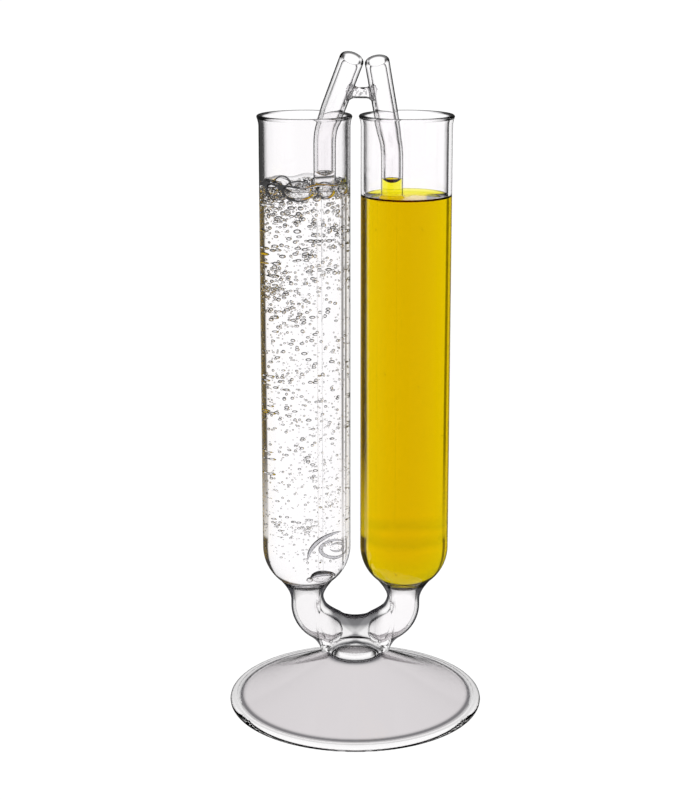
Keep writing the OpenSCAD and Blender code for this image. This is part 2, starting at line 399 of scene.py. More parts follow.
def surface(field, low, high, step):
    """A smooth closed mesh of a distance field's surface: vertices, quads and normals."""
    axes = [np.arange(a, b + step, step) for a, b in zip(low, high)]
    grid = np.stack(np.meshgrid(*axes, indexing="ij"), -1)
    value = field(grid)
    verts, active = crossings(grid, value, step)
    quads = cell_quads(value < 0, active)
    edges = np.vstack([quads[:, [i, (i + 1) % 4]] for i in range(4)])
    for _ in range(SMOOTHINGS):
        pull = np.zeros_like(verts)
        near = np.zeros(len(verts))
        for i, j in ((0, 1), (1, 0)):
            for axis in range(3):
                pull[:, axis] += np.bincount(edges[:, i], verts[edges[:, j], axis], len(verts))
            near += np.bincount(edges[:, i], minlength=len(verts))
        verts = 0.5 * verts + 0.5 * pull / near[:, None]
        for _ in range(SETTLINGS):
            slope = slope_of(field, verts)
            size = np.maximum((slope**2).sum(-1), LEAST_SLOPE)
            verts = verts - np.clip(field(verts) / size, -step / 2, step / 2)[:, None] * slope
    normals = slope_of(field, verts)
    return verts, quads, normals / np.linalg.norm(normals, axis=-1, keepdims=True)


# ---------------- the stand


def along_stem(x, y, z, run):
    """The distance from the left stem's centre line, which ends run millimetres below its bend."""
    mid_x, mid_z = -TUBE_X + STEM_BEND, STEM_BEND_Z
    upper = np.sqrt((x + TUBE_X) ** 2 + y**2 + np.maximum(STEM_BEND_Z - z, 0) ** 2)
    angle = np.clip(np.arctan2(mid_z - z, mid_x - x), 0, STEM_TURN)
    off_x, off_z = x - mid_x + STEM_BEND * np.cos(angle), z - mid_z + STEM_BEND * np.sin(angle)
    bend = np.sqrt(off_x**2 + y**2 + off_z**2)
    end_x = mid_x - STEM_BEND * math.cos(STEM_TURN)
    end_z = mid_z - STEM_BEND * math.sin(STEM_TURN)
    way_x, way_z = math.sin(STEM_TURN), -math.cos(STEM_TURN)
    s = np.clip((x - end_x) * way_x + (z - end_z) * way_z, 0, run)
    lower = np.sqrt((x - end_x - s * way_x) ** 2 + y**2 + (z - end_z - s * way_z) ** 2)
    return np.minimum(np.minimum(upper, bend), lower)


def from_bowl(x, y, z):
    """The distance from the middle of the left tube's round bottom."""
    return np.sqrt((x + TUBE_X) ** 2 + y**2 + (z - BOWL_Z) ** 2)


def fork_field(p):
    """The two stems, filled, with their flares on the tubes and the web between them."""
    x, y, z = p[..., 0], p[..., 1], p[..., 2]
    solid = None
    for mirror in (1, -1):
        stem = along_stem(mirror * x, y, z, STEM_RUN) - STEM_R
        bowl = from_bowl(mirror * x, y, z)
        stem = round_union(stem, bowl - (TUBE_R - NECK_SINK), NECK_FILLET)
        stem = np.maximum(stem, np.hypot(mirror * x + TUBE_X, y) - NECK_REACH)
        stem = np.where((mirror * x < 0) | (z < STEM_BEND_Z), stem, FAR)
        solid = stem if solid is None else round_union(solid, stem, STEMS_FILLET)
    web = SADDLE_R - np.hypot(x, z - SADDLE_Z - SADDLE_R)
    web = round_meet(web, np.abs(y) - WEB_HALF - WEB_BULGE * x**2, WEB_EDGE_R)
    web = np.maximum(web, np.abs(x) - WEB_REACH)
    return round_union(solid, web, WEB_FILLET)


def foot_field(p):
    """The dome, its rolled edge, and the lens of solid glass between the dome and the stems."""
    r, z = np.hypot(p[..., 0], p[..., 1]), p[..., 2]
    outer, inner = FOOT_R - EDGE_WIDTH + DOME_TUCK, COLLAR_R - DOME_SHOULDER
    blunt = (r**8 + inner**8) ** 0.125
    share = np.clip((outer - blunt) / (outer - inner), 0, 1)
    middle = DOME_START + (DOME_Z - DOME_START) * share**DOME_POWER - DOME_WALL / 2
    dome = (np.abs(z - middle) - DOME_WALL / 2) * DOME_SLANT
    dome = np.maximum(dome, r - outer)
    across = np.abs(r - FOOT_R + EDGE_WIDTH / 2) - EDGE_WIDTH / 2 + EDGE_R
    rim = np.hypot(np.maximum(across, 0), z - EDGE_R) - EDGE_R
    lens = np.abs(z - LENS_Z) - LENS_HALF + LENS_CURVE * r**2
    lens = round_meet(lens, r - COLLAR_R, LENS_EDGE_R)
    return round_union(round_union(dome, rim, RIM_FILLET), lens, LENS_FILLET)


def stand_field(p):
    """The fused lower glass: the foot, the web and the hollow stems, up to the middle of the
    tubes' walls."""
    x, y, z = p[..., 0], p[..., 1], p[..., 2]
    fork = np.maximum(fork_field(p), COLLAR_TOP - FORK_SINK - z)
    solid = round_union(foot_field(p), fork, FORK_FILLET)
    for mirror in (1, -1):
        bore = along_stem(mirror * x, y, z, BORE_RUN) - STEM_R + STEM_WALL
        solid = np.maximum(solid, TUBE_R - WALL / 2 - from_bowl(mirror * x, y, z))
        solid = np.maximum(solid, -bore)
    return solid


def smooth(value, low, high):
    """0 up to low, 1 from high, and a smooth step between."""
    share = np.clip((value - low) / (high - low), 0, 1)
    return share * share * (3 - 2 * share)


def bump(value, middle, width):
    return np.exp(-(((value - middle) / width) ** 2))


def stand_zones(p):
    """For each vertex: how much it is dome rather than stem, where on the facing scale its edges
    start and end to darken, and how much painted shade darkens its body; and its index of
    refraction."""
    x, y, z = p.T
    r, out = np.hypot(x, y), np.abs(x)
    crease_r = FOOT_R - EDGE_WIDTH
    low = z < DOME_Z
    bore = np.minimum(along_stem(x, y, z, BORE_RUN), along_stem(-x, y, z, BORE_RUN))
    cavity = 1 - smooth(bore, STEM_R - STEM_WALL + 0.1, STEM_R - STEM_WALL + 0.4)
    edge = smooth(r, crease_r - 0.2, crease_r + 0.5)
    foot = (1 - smooth(z, DOME_Z - 1.0, DOME_Z + 0.5)) * smooth(r, COLLAR_R - 2.5, COLLAR_R)
    foot = foot * (1 - edge)
    web = (1 - smooth(out, *WEB_FADES)) * smooth(z, COLLAR_TOP, COLLAR_TOP + 2)
    arch = COLLAR_TOP + ARCH_RISE - ARCH_SLOPE * out

    def on_scale(stem, on_web, in_bore, on_foot, more_on_edge):
        value = stem + (on_web - stem) * web
        value = value + (in_bore - value) * cavity
        return value + (on_foot - value) * foot + more_on_edge * edge * low

    # painted shade, standing in for the dark that refraction shows: over the web's saddle and in
    # its two wedges, in the dome's crease, where the collar meets the dome, on the collar's arch
    # and on the left stem
    saddle = SADDLE_Z + SADDLE_R - np.sqrt(np.maximum(SADDLE_R**2 - x**2, 1))
    wedges = smooth(WEDGE_SLOPE * np.abs(z - WEDGE_Z) + WEDGE_WAIST - out, 0.0, WEDGE_BLUR)
    shade = SADDLE_SHADE * bump(z, saddle, SADDLE_DEPTH) + WEB_SHADE + WEDGE_SHADE * wedges
    shade = shade * web * (1 - cavity) * smooth(z, arch - 0.2, arch + 0.4)
    crease = bump(r, crease_r - 0.4, 0.8) * (z > 2.0)
    skirt = bump(z, DOME_Z - 0.1, 0.9) * bump(r, COLLAR_R, 1.3)
    over = bump(z, arch, ARCH_WIDTH) * (1 - smooth(out, *ARCH_ENDS)) * (1 - cavity)
    left = smooth(-x, *LEFT_FADES) * (z > COLLAR_TOP + 1) * (1 - cavity)
    painted_shade = CREASE_SHADE * crease + SKIRT_SHADE * skirt + ARCH_SHADE * over + LEFT_SHADE * left
    painted_shade = np.clip(painted_shade + shade, 0, DARKEST)
    index = STEM_IOR + (FOOT_IOR - STEM_IOR) * smooth(r, *FOOT_IOR_FROM) * low
    return np.stack([foot, on_scale(*EDGE_STARTS), on_scale(*EDGE_ENDS), painted_shade], 1), index


def make_stand(glass):
    reach = FOOT_R + 1
    low = (-reach, -reach, -1.0)
    high = (reach, reach, BOWL_Z - TUBE_R + 9)
    verts, faces, normals = surface(stand_field, low, high, STAND_STEP)
    nodes = [side + part for side in ("left_", "right_") for part in ("neck", "elbow", "stem")]
    nodes += ["saddle_web", "hub_collar", "foot_dome", "foot_rim"]
    faces = faces.tolist()
    stand = add_mesh("stand", verts, faces, [glass], "vessel", nodes, normals)
    zones, index = stand_zones(verts)
    colours = stand.data.color_attributes.new("zones", "FLOAT_COLOR", "POINT")
    colours.data.foreach_set("color", zones.ravel())
    add_values(stand, "index", index)


# ---------------- tubes


def make_tube(side, materials):
    """Outside up from the round bottom, over the flared lip, and down the bore. materials are
    those of the outside, of the lip, of the dry bore, and of the bore that the drink wets."""
    base = RIM_Z - LIP_H
    bead = LIP_R - BEAD_R
    wet_to = LEVEL[side] + MENISCUS + (FOAM_HIGH if side == "left" else 0)
    profile = round_bottom(TUBE_R, ROUND_STEPS)
    profile += line((BOWL_Z, TUBE_R), (base, TUBE_R), 30) + [(base, TUBE_R)]
    rise = RIM_Z - BEAD_R - base
    profile += [(base + rise * t, TUBE_R + (LIP_R - TUBE_R) * t**2) for t in FLARE]
    lip_from = len(profile) - 1
    profile += arc(RIM_Z - BEAD_R, bead, BEAD_R, 0, 180, LIP_STEPS)
    flare = bead - BEAD_R - BORE_R
    profile += [(base + rise * t, BORE_R + flare * t**2) for t in reversed(FLARE)]
    profile += [(base, BORE_R)] + line((base, BORE_R), (wet_to, BORE_R), 6) + [(wet_to, BORE_R)]
    bore_from, wet_from = lip_from + 1 + LIP_STEPS, len(profile) - 1
    profile += line((wet_to, BORE_R), (BOWL_Z, BORE_R), 24)
    profile += round_bottom(BORE_R, ROUND_STEPS)[::-1]
    verts, faces = sweep(profile, upright(SIDE[side] * TUBE_X), TUBE_SEGMENTS, False)
    nodes = [side + "_tube", side + "_lip"]
    tube = add_mesh(side + "_tube_glass", verts, faces, materials, "vessel", nodes)
    starts = (lip_from, bore_from, wet_from)
    paint(tube, lambda index, centre: sum(index // TUBE_SEGMENTS >= start for start in starts))


# ---------------- straws


def straw_path(side):
    """The straw's centre line: straight up, round the bend, and along the slant. Returns it with
    the distances at which the bend starts and ends and the whole length."""
    x, meet, slope_x, slope_y, slant = STRAWS[side]
    lean = math.hypot(slope_x, slope_y)
    turn = math.atan(lean)
    cut = STRAW_BEND * math.tan(turn / 2)
    heading = np.array([slope_x / lean, -slope_y / lean, 0])
    up = np.array([0, 0, 1.0])
    sideways = np.cross(up, heading)
    bend_from = meet - cut - LEG_END_Z
    bend_to = bend_from + STRAW_BEND * turn
    bend_start = np.array([x, 0, meet - cut])

    def path(s):
        angle = min(max((s - bend_from) / STRAW_BEND, 0), turn)
        across = heading * math.cos(angle) - up * math.sin(angle)
        along = heading * math.sin(angle) + up * math.cos(angle)
        round_bend = heading * (1 - math.cos(angle)) + up * math.sin(angle)
        centre = bend_start + STRAW_BEND * round_bend
        if s < bend_from:
            centre = bend_start + up * (s - bend_from)
        elif s > bend_to:
            centre = centre + along * (s - bend_to)
        return centre, across, sideways

    return path, bend_from, bend_to, bend_to + slant - cut


def make_straw(side, materials):
    """materials are those of the straw and of its bore round the drink that stands in it."""
    path, bend_from, bend_to, length = straw_path(side)
    tip = STRAW_WALL / 2
    wet_to = LEVEL[side] - LEG_END_Z
    column_to = wet_to + STRAW_RISE
    stops = [tip + 0.01, 2.0, *np.linspace(8, wet_to - 1, 12), wet_to, wet_to + 1, column_to]
    stops += [*np.linspace(column_to + 2, bend_from, 4)]
    stops += [*np.linspace(bend_from, bend_to, 18)[1:]]
    stops += [*np.linspace(bend_to, length - tip, 16)[1:]]

    def widen(s):
        share = min(max((s - bend_to) / TAPER, 0), 1)
        return (MOUTH_R - LEG_R) * share * share * (3 - 2 * share)

    outer = [(s, LEG_R + widen(s)) for s in stops]
    inner = [(s, r - STRAW_WALL) for s, r in outer]
    profile = outer + arc(length - tip, MOUTH_R - tip, tip, 0, 180, TIP_STEPS)[1:-1]
    inside_from = len(profile) + 3
    profile += inner[::-1] + arc(tip, LEG_R - tip, tip, 180, 360, TIP_STEPS)[1:-1]
    verts, faces = sweep(profile, path, STRAW_SEGMENTS, True)
    nodes = [side + part for part in ("_leg", "_straw_bend", "_mouthpiece")]
    straw = add_mesh(side + "_straw", verts, faces, materials, "straws", nodes)

    def beside_drink(index, centre):
        inside = index // STRAW_SEGMENTS >= inside_from
        return int(inside and LEVEL[side] < centre.z < LEVEL[side] + STRAW_RISE)

    paint(straw, beside_drink)
    way = np.repeat([s for s, _ in profile], STRAW_SEGMENTS)
    turn = np.linspace(0, 2 * math.pi, STRAW_SEGMENTS, endpoint=False)
    far = np.tile(-np.cos(turn), len(profile))
    at_mouth = smooth(way, *(length - back for back in MOUTH_DARK))
    add_values(straw, "shade", MOUTH_SHADE * at_mouth * smooth(far, *MOUTH_FAR))
    fall = smooth(way, bend_to - 4, length)
    add_values(straw, "index", GLASS_IOR + (MOUTH_IOR - GLASS_IOR) * fall)


def make_bridge(glass):
    """A waisted rod between the mouthpieces with a string of trapped bubbles."""
    z = BRIDGE_Z
    ends = []
    for side in ("left", "right"):
        x, meet, slope_x, slope_y, _ = STRAWS[side]
        ends.append(np.array([x + slope_x * (z - meet), -slope_y * (z - meet), z]))
    middle = (ends[0] + ends[1]) / 2
    across = ends[1] - ends[0]
    span = np.linalg.norm(across)
    across = across / span
    slopes = [np.array([STRAWS[s][2], -STRAWS[s][3], 1.0]) for s in ("left", "right")]
    lines = [(end, slope / np.linalg.norm(slope)) for end, slope in zip(ends, slopes)]

    def field(p):
        offset = p - middle
        s = (offset * across).sum(-1)
        rod = np.sqrt(np.maximum((offset**2).sum(-1) - s**2, 0)) - BRIDGE_R
        rod = np.maximum(rod, np.abs(s) - span / 2)
        pipes = 99.0
        for point, way in lines:
            to = p - point
            t = (to * way).sum(-1)
            pipe = np.sqrt(np.maximum((to**2).sum(-1) - t**2, 0)) - MOUTH_R + BRIDGE_SINK
            pipes = np.minimum(pipes, pipe)
        blended = np.maximum(round_union(rod, pipes, BRIDGE_FILLET), -pipes)
        return np.maximum(blended, rod - BRIDGE_FLARE)

    reach = np.array([span / 2 + 1, BRIDGE_MARGIN, BRIDGE_MARGIN])
    verts, faces, _ = surface(field, middle - reach, middle + reach, BRIDGE_STEP)
    rng = random.Random(11)
    hollows = []
    for _ in range(BRIDGE_BUBBLES):
        s = rng.uniform(-2.1, 2.1)
        angle, r = rng.uniform(0, 2 * math.pi), rng.uniform(0, 1.1)
        size = rng.uniform(0.18, 0.42)
        centre = middle + across * s + np.array([0, math.cos(angle) * r, math.sin(angle) * r])
        hollows.append((centre, (size * 1.2, size, size), 2))
    verts, faces = add_hollows(verts, faces.tolist(), hollows)
    nodes = ["straw_bridge"]
    add_mesh("straw_bridge_glass", verts, faces, [glass], "straws", nodes)


# ---------------- drinks


def foam_rise(around, wall_gap):
    """How high the sparkling drink's foam stands on the wall."""
    wave = 0.35 * np.sin(5 * around + 1) + 0.25 * np.sin(9 * around)
    return (FOAM_HIGH + wave) / (1 + np.exp((wall_gap - FOAM_WIDE) / FOAM_EDGE))


def drink_mesh(side, domes):
    """A drink with its meniscus on the glass and round the straw. Foam, if any, stands on the wall
    and over its biggest bubbles, the domes."""
    x, level, r = SIDE[side] * TUBE_X, LEVEL[side], BORE_R + SEAT
    leg_x = STRAWS[side][0]
    count = DRINK_SEGMENTS

    def height(px, py, wall_gap):
        z = level + MENISCUS * np.exp(-wall_gap / MENISCUS_WIDTH)
        if domes:
            z = z + foam_rise(np.arctan2(py, px - x), wall_gap)
        off = np.maximum(np.hypot(px - leg_x, py) - LEG_R, 0)
        z = z + STRAW_MENISCUS * MENISCUS * np.exp(-off / MENISCUS_WIDTH)
        for centre, radii in domes:
            wide, deep, tall = (q + FILM for q in radii)
            off = 1 - ((px - centre[0]) / wide) ** 2 - ((py - centre[1]) / deep) ** 2
            over = centre[2] + tall * np.sqrt(np.maximum(off, 0))
            z = np.maximum(z, np.where(off > 0, over, z))
        return z

    turn = np.linspace(0, 2 * math.pi, count, endpoint=False)
    profile = round_bottom(r, 40)
    profile += line((BOWL_Z, r), (level, r), 24) + [(level - 0.3, r), (level - 0.05, r)]
    verts, faces = sweep(profile, upright(x), count, False)
    sides = len(faces) + count
    rows = [list(range(len(verts) - count, len(verts)))]
    grid, last = [], len(verts)
    for gap in [*np.linspace(0, 3, 22), *np.linspace(3, r - 0.25, 70)[1:]]:
        px, py = x + (r - gap) * np.cos(turn), (r - gap) * np.sin(turn)
        rows.append(list(range(last, last + count)))
        last += count
        grid.append(np.stack([px, py, height(px, py, gap)], 1))
    for low, high in zip(rows, rows[1:]):
        for i in range(count):
            j = (i + 1) % count
            faces.append((low[i], low[j], high[j], high[i]))
    faces += [(rows[-1][i], rows[-1][(i + 1) % count], last) for i in range(count)]
    top = np.array([[x, 0.0, float(height(np.array(x), np.array(0.0), r))]])
    return np.vstack([verts] + grid + [top]), faces, sides


def make_column(side, materials):
    """The drink that stands in the straw above the level, with its own meniscus."""
    r = LEG_R - STRAW_WALL + SEAT
    low = LEVEL[side] - 1.0 - LEG_END_Z
    top = low + 1.0 + STRAW_RISE
    profile = [(low, 0.0), (low, r * 0.5), (low, r)]
    profile += line((low, r), (top, r), 8) + [(top - 0.05, r)]
    rows = len(profile) - 1
    for ring in range(COLUMN_RINGS, -1, -1):
        share = ring / COLUMN_RINGS
        profile.append((top - COLUMN_DIP * (1 - share**COLUMN_POWER), r * share))
    verts, faces = sweep(profile, straw_path(side)[0], COLUMN_SEGMENTS, False)
    column = add_mesh(side + "_straw_drink", verts, faces, materials, "straws")
    paint(column, lambda index, centre: int(index >= rows * COLUMN_SEGMENTS))


def streak(x, y, z, wide, tall, start, end, thick):
    """A bent air bubble in the clear drink, round part of an upright ellipse about a place given
    from the middle of the bowl: its vertices, and faces that look inwards."""

    def path(s):
        a = math.radians(start + (end - start) * s)
        centre = [x - TUBE_X + wide * math.cos(a), y, BOWL_Z + z + tall * math.sin(a)]
        return np.array(centre), np.array([math.cos(a), 0, math.sin(a)]), np.array([0, 1.0, 0])

    stops = np.linspace(0, 1, STREAK_STEPS)
    profile = [(t, thick * math.sin(math.pi * t) ** 0.6) for t in stops]
    return sweep(profile, path, STREAK_SEGMENTS, False)


def soda_hollows():
    """Bubbles in the sparkling drink: a foam ring on the wall, and below it fewer and fewer, half
    of them in clusters, with two big ones under the straw's lower end."""
    rng = random.Random(7)
    x, level = -TUBE_X, LEVEL["left"]
    leg = np.array([STRAWS["left"][0], 0.0])
    foam = []
    for around, wide, radius, lift in FOAM:
        a = math.radians(around)
        reach = BORE_R - radius - 0.15 - (wide - radius) * 0.35
        centre = (x + reach * math.sin(a), -reach * math.cos(a), level + lift)
        foam.append((centre, (wide, radius, radius)))
    hollows = [(c, radii, 4) for c, radii in foam]
    placed = [(np.array(c), (radii[0] + radii[1]) / 2) for c, radii in foam]
    for dx, dy, dz, radii in BIG_BUBBLES:
        centre = np.array([x + dx, dy, BOWL_Z + dz])
        hollows.append((centre, radii, 3))
        placed.append((centre, max(radii)))

    def place(centre, size):
        from_leg = abs(np.hypot(*(centre[:2] - leg)) - LEG_R + STRAW_WALL / 2)
        if from_leg < size + STRAW_WALL / 2 + 0.2:
            return
        near = [(c, q) for c, q in placed if abs(centre[2] - c[2]) < 5]
        if any(np.linalg.norm(centre - c) < size + q + 0.07 for c, q in near):
            return
        placed.append((centre, size))
        flat = 1 + 0.18 * rng.random() * (size > 0.45)
        detail = 3 if size > 1 else 2 if size > 0.3 else 1
        hollows.append((centre, (size * flat, size * flat, size / flat), detail))

    for _ in range(FOAM_TRIES):
        size = 0.4 + 1.3 * rng.random() ** 2
        gap = size * 1.2 + 0.12 + (FOAM_WIDE - 1.2) * rng.random() ** 1.5
        a = rng.uniform(-math.pi, math.pi)
        top = level + foam_rise(a, gap + size) - size * 1.2 - 0.12
        z = rng.uniform(level - FOAM_DEEP, top)
        if top > level - FOAM_DEEP:
            r = BORE_R - gap
            place(np.array([x + r * math.cos(a), r * math.sin(a), z]), size)
    clusters = [(rng.uniform(0, 2 * math.pi), rng.random() ** 1.5) for _ in range(CLUSTERS)]
    for _ in range(BUBBLES):
        depth, a = rng.random() ** 1.35, rng.uniform(0, 2 * math.pi)
        if rng.random() < 0.5:
            a, depth = rng.choice(clusters)
            a, depth = a + rng.gauss(0, 0.13), max(depth + rng.gauss(0, 0.011), 0)
        size = 0.16 + 0.7 * rng.random() ** 3 * (1 - 0.65 * depth)
        z = level - BUBBLES_FROM - depth * (level - BOWL_Z + BUBBLES_BELOW)
        r = (BORE_R - size - 0.12) * (1 if rng.random() < 0.5 else math.sqrt(rng.random()))
        centre = np.array([x + r * math.cos(a), r * math.sin(a), z])
        in_bowl = np.linalg.norm(centre - np.array([x, 0, BOWL_Z])) < BORE_R - size - 0.2
        if z > BOWL_Z or in_bowl:
            place(centre, size)
    return foam, hollows


def make_drink(side, name, hollows, domes, materials, column_top):
    """materials are those of the sides, the top, the foam, the bubbles and the streaks."""
    verts, faces, sides = drink_mesh(side, domes)
    solid = len(faces)
    verts, faces = add_hollows(verts, faces, hollows)
    round_ones = len(faces)
    for shape in STREAKS if domes else []:
        more, inward = streak(*shape)
        faces += [tuple(index + len(verts) for index in face) for face in inward]
        verts = np.vstack([verts, more])
    slot = {"left": "clear_drink", "right": "yellow_drink"}[side]
    drink = add_mesh(name, verts, faces, materials, "vessel", [slot])
    ends = (sides, solid, solid + len(domes) * len(ball(4)[1]), round_ones)
    paint(drink, lambda index, centre: sum(index >= end for end in ends))
    make_column(side, [materials[0], column_top])


def juice_specks():
    """Specks on the front of the yellow drink."""
    rng = random.Random(5)
    specks = []
    for _ in range(SPECKS):
        a, r = rng.uniform(-1.2, 1.2), BORE_R - SPECKS_IN
        size = rng.uniform(0.1, 0.26)
        z = LEVEL["right"] - SPECKS_FROM - rng.random() ** 2 * SPECKS_SPAN
        centre = (TUBE_X + r * math.sin(a), -r * math.cos(a), z)
        specks.append((centre, (size, size, size), 2))
    return specks


# ---------------- shader helpers


def add_node(tree, kind, values=None, **settings):
    """A shader node of that kind, with those values on its sockets and those settings."""
    node = tree.nodes.new("ShaderNode" + kind)
    for name, value in settings.items():
        setattr(node, name, value)
    for socket, value in (values or {}).items():
        node.inputs[socket].default_value = value
    return node


def mix_node(tree, first=(1, 1, 1), second=(1, 1, 1), **settings):
    return add_node(tree, "MixRGB", {"Color1": (*first, 1), "Color2": (*second, 1)}, **settings)


def wire(tree, *pairs):
    for source, target in pairs:
        tree.links.new(source, target)


def set_ramp(ramp, stops):
    elements = ramp.elements
    while len(elements) < len(stops):
        elements.new(0.5)
    for element, (place, value) in zip(elements, sorted(stops)):
        element.position = place
        element.color = (value, value, value, 1)


def new_material(name):
    material = bpy.data.materials.new(name)
    material.use_nodes = True
    tree = material.node_tree
    tree.nodes.clear()
    output = add_node(tree, "OutputMaterial")
    shader = add_node(tree, "BsdfPrincipled")
    wire(tree, (shader.outputs["BSDF"], output.inputs["Surface"]))
    return material, tree, shader


def new_glass(name):
    material, tree, shader = new_material(name)
    shader.inputs["Transmission Weight"].default_value = 1.0
    shader.inputs["Roughness"].default_value = 0.0
    return material, tree, shader


def edge_ramp(tree, body, edge, start, full):
    """A colour that goes from body to edge between start and full on the facing scale: painted
    shade at grazing angles.
    """
    layer = add_node(tree, "LayerWeight", {"Blend": 0.5})
    ramp = add_node(tree, "ValToRGB")
    ramp.color_ramp.elements[0].position = start
    ramp.color_ramp.elements[0].color = (*body, 1)
    ramp.color_ramp.elements[1].position = full
    ramp.color_ramp.elements[1].color = (*edge, 1)
    wire(tree, (layer.outputs["Facing"], ramp.inputs["Fac"]))
    return ramp.outputs["Color"]


# ---------------- materials


def clear_material(name, ior, body, edge, start, full=1.0):
    """Clear glass or drink of a faint body colour. It darkens towards grazing angles, a painted
    shade standing in for the dark that thick clear edges show between dark screens."""
    material, tree, shader = new_glass(name)
    shader.inputs["IOR"].default_value = ior
    wire(tree, (edge_ramp(tree, body, edge, start, full), shader.inputs["Base Color"]))
    return material


def grey(value):
    return (value, value, value)


def straw_material(name, level, wet_ior, wet_edge):
    """Clear glass above the level, in whatever pose. Below it, where the drink is on both sides,
    the glass hardly bends light or shows edges."""
    material, tree, shader = new_glass(name)
    place = add_node(tree, "NewGeometry")
    parts = add_node(tree, "SeparateXYZ")
    above = add_node(tree, "Math", {1: level * MM}, operation="GREATER_THAN")
    index = add_node(tree, "Attribute", attribute_name="index")
    more = add_node(tree, "Math", {1: wet_ior}, operation="SUBTRACT")
    total = add_node(tree, "Math", {2: wet_ior}, operation="MULTIPLY_ADD")
    both = mix_node(tree)
    shade = add_node(tree, "Attribute", attribute_name="shade")
    shaded = mix_node(tree, second=grey(0.01))
    dry = edge_ramp(tree, (1.0, 0.992, 1.0), grey(0.01), 0.42, 0.66)
    wet = edge_ramp(tree, grey(1.0), wet_edge, 0.85, 1.0)
    wire(
        tree,
        (place.outputs["Position"], parts.inputs["Vector"]),
        (parts.outputs["Z"], above.inputs[0]),
        (index.outputs["Fac"], more.inputs[0]),
        (above.outputs["Value"], total.inputs[0]),
        (more.outputs["Value"], total.inputs[1]),
        (total.outputs["Value"], shader.inputs["IOR"]),
        (above.outputs["Value"], both.inputs["Fac"]),
        (wet, both.inputs["Color1"]),
        (dry, both.inputs["Color2"]),
        (both.outputs["Color"], shaded.inputs["Color1"]),
        (shade.outputs["Fac"], shaded.inputs["Fac"]),
        (shaded.outputs["Color"], shader.inputs["Base Color"]),
    )
    return material


def stand_material():
    """Clear glass like clear_material's, with the colours, edges and painted shade that
    stand_zones() gives.
    """
    material, tree, shader = new_glass("stand_glass")
    index = add_node(tree, "Attribute", attribute_name="index")
    zones = add_node(tree, "Attribute", attribute_name="zones")
    parts = add_node(tree, "SeparateColor")
    body = mix_node(tree, STEM_BODY, FOOT_BODY)
    # painted shade: the body darkens by the zones' alpha towards the dark of the painted shade
    shaded_body = mix_node(tree, second=PAINTED_SHADE)
    edged = mix_node(tree, second=STAND_EDGE)
    layer = add_node(tree, "LayerWeight", {"Blend": 0.5})
    reach = add_node(tree, "MapRange")
    wire(
        tree,
        (index.outputs["Fac"], shader.inputs["IOR"]),
        (zones.outputs["Color"], parts.inputs["Color"]),
        (parts.outputs["Red"], body.inputs["Fac"]),
        (body.outputs["Color"], shaded_body.inputs["Color1"]),
        (zones.outputs["Alpha"], shaded_body.inputs["Fac"]),
        (layer.outputs["Facing"], reach.inputs["Value"]),
        (parts.outputs["Green"], reach.inputs["From Min"]),
        (parts.outputs["Blue"], reach.inputs["From Max"]),
        (reach.outputs["Result"], edged.inputs["Fac"]),
        (shaded_body.outputs["Color"], edged.inputs["Color1"]),
        (edged.outputs["Color"], shader.inputs["Base Color"]),
    )
    return material


def soak(material):
    """Gives a drink its yellow, by absorption along the light's way."""
    tree = material.node_tree
    output = next(n for n in tree.nodes if n.type == "OUTPUT_MATERIAL")
    values = {"Color": JUICE_COLOUR, "Density": JUICE_DENSITY}
    volume = add_node(tree, "VolumeAbsorption", values)
    wire(tree, (volume.outputs["Volume"], output.inputs["Volume"]))
    return material


def layer_drink(material):
    """Gives the yellow drink's sides the two faint greener layers that settle low in it."""
    tree = material.node_tree
    shader = next(n for n in tree.nodes if n.type == "BSDF_PRINCIPLED")
    ramp = next(n for n in tree.nodes if n.type == "VALTORGB")
    coord = add_node(tree, "TexCoord")
    parts = add_node(tree, "SeparateXYZ")
    wobble = add_node(tree, "TexNoise", {"Scale": 60.0, "Detail": 2.0})
    lift = add_node(tree, "Math", {1: LAYERS_WAVE * MM}, operation="MULTIPLY_ADD")
    span = {"From Min": (BOWL_Z - TUBE_R) * MM, "From Max": (BOWL_Z + LAYERS_TOP) * MM}
    height = add_node(tree, "MapRange", span)
    layers = add_node(tree, "ValToRGB")
    set_ramp(layers.color_ramp, LAYERS)
    tint = mix_node(tree, second=LAYER_TINT)
    both = mix_node(tree, blend_type="MULTIPLY")
    both.inputs["Fac"].default_value = 1.0
    wire(
        tree,
        (coord.outputs["Object"], parts.inputs["Vector"]),
        (coord.outputs["Object"], wobble.inputs["Vector"]),
        (wobble.outputs["Fac"], lift.inputs[0]),
        (parts.outputs["Z"], lift.inputs[2]),
        (lift.outputs["Value"], height.inputs["Value"]),
        (height.outputs["Result"], layers.inputs["Fac"]),
        (layers.outputs["Color"], tint.inputs["Fac"]),
        (ramp.outputs["Color"], both.inputs["Color1"]),
        (tint.outputs["Color"], both.inputs["Color2"]),
        (both.outputs["Color"], shader.inputs["Base Color"]),
    )
    return material


# ---------------- studio


def bearing(degrees):
    """The place on the radial ramp of a direction in degrees from +Y towards +X."""
    return (0.5 + (90 - degrees) / 360) % 1


